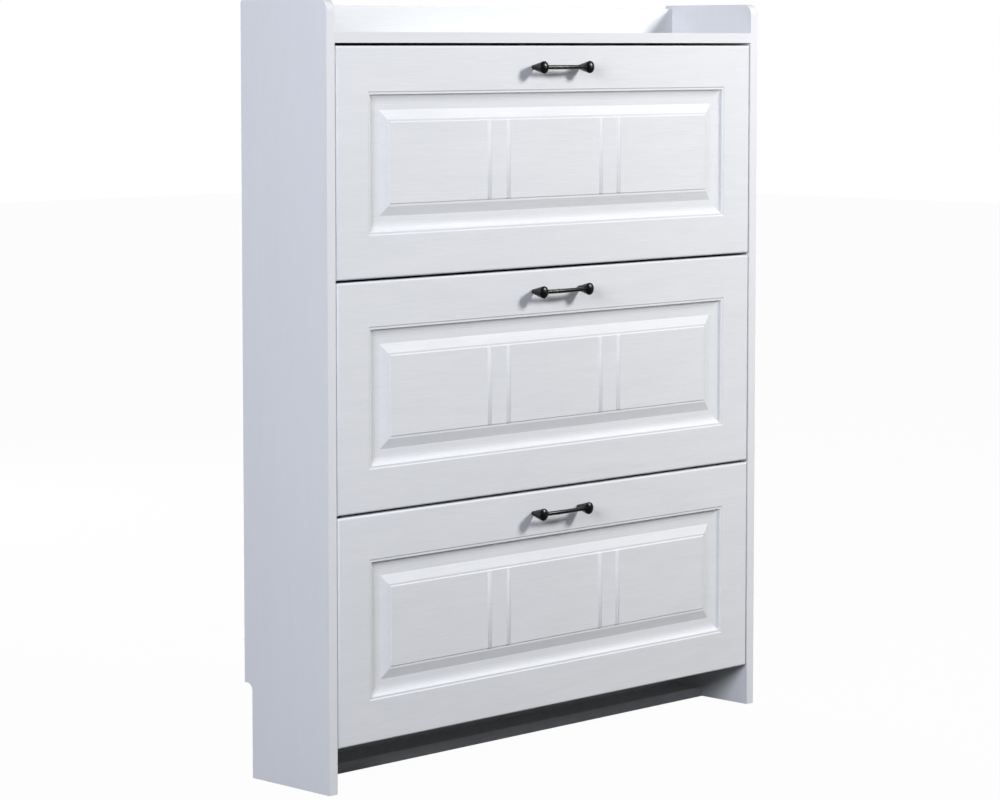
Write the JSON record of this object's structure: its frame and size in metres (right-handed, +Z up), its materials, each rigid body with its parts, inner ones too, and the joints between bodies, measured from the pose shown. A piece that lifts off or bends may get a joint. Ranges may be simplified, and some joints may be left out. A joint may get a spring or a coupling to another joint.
{
  "type": "shoe cabinet",
  "caption": "Slim wall-side shoe cabinet whose flush raised-panel doors tip out, each with a bow handle and a shoe rack behind it, under a top board with a low gallery.",
  "frame": {"origin": "centre of the bounding box footprint, on the floor; the box runs from the front of the handles to the back edges of the sides", "axes": "+X to the right for a person facing the doors; the doors face -Y and the back faces +Y; +Z up"},
  "size_m": [0.9, 0.203, 1.094],
  "materials": {
    "white_board": "satin",
    "white_door_wrap": "satin",
    "white_hardboard": "matte",
    "white_plastic": "matte",
    "black_handle": "gloss",
    "zinc_plated_steel": "satin",
    "zinc_die_cast": "matte",
    "beech_dowel": "matte"
  },
  "bodies": {
    "carcass": {"side_panel_left": "white_board", "side_panel_right": "white_board", "top_board": "white_board", "bottom_board": "white_board", "gallery_rail": "white_board", "wall_rail": "white_board", "middle_stretcher": "white_board", "lower_back_board": "white_board", "back_sheet_lower": "white_hardboard", "back_sheet_upper": "white_hardboard", "back_joiner": "white_plastic", "back_screws": "zinc_plated_steel", "cam_bolts": "zinc_plated_steel", "cam_locks": "zinc_die_cast", "carcass_dowels": "beech_dowel", "gallery_dowels": "beech_dowel", "bracket_screws": "zinc_plated_steel", "door_stops": "white_plastic", "stop_screws": "zinc_plated_steel", "pivot_bracket_left_bottom": "zinc_plated_steel", "pivot_bracket_right_bottom": "zinc_plated_steel", "pivot_bracket_left_middle": "zinc_plated_steel", "pivot_bracket_right_middle": "zinc_plated_steel", "pivot_bracket_left_top": "zinc_plated_steel", "pivot_bracket_right_top": "zinc_plated_steel"},
    "door_bottom": {"door_panel_bottom": "white_door_wrap", "handle_bottom": "black_handle", "handle_screws_bottom": "zinc_plated_steel", "rack_side_left_bottom": "white_plastic", "rack_side_right_bottom": "white_plastic", "tray_board_bottom": "white_board", "tray_back_bottom": "white_board", "rack_screws_bottom": "zinc_plated_steel"},
    "door_middle": {"door_panel_middle": "white_door_wrap", "handle_middle": "black_handle", "handle_screws_middle": "zinc_plated_steel", "rack_side_left_middle": "white_plastic", "rack_side_right_middle": "white_plastic", "tray_board_middle": "white_board", "tray_back_middle": "white_board", "rack_screws_middle": "zinc_plated_steel"},
    "door_top": {"door_panel_top": "white_door_wrap", "handle_top": "black_handle", "handle_screws_top": "zinc_plated_steel", "rack_side_left_top": "white_plastic", "rack_side_right_top": "white_plastic", "tray_board_top": "white_board", "tray_back_top": "white_board", "rack_screws_top": "zinc_plated_steel"}
  },
  "joints": [
    {"name": "door_bottom_tilt", "type": "hinge", "parent": "carcass", "child": "door_bottom", "pos_m": [0, -0.0535, 0.12], "axis": [1, 0, 0], "range_deg": [0, 45]},
    {"name": "door_middle_tilt", "type": "hinge", "parent": "carcass", "child": "door_middle", "pos_m": [0, -0.0535, 0.444], "axis": [1, 0, 0], "range_deg": [0, 45]},
    {"name": "door_top_tilt", "type": "hinge", "parent": "carcass", "child": "door_top", "pos_m": [0, -0.0535, 0.768], "axis": [1, 0, 0], "range_deg": [0, 45]}
  ]
}
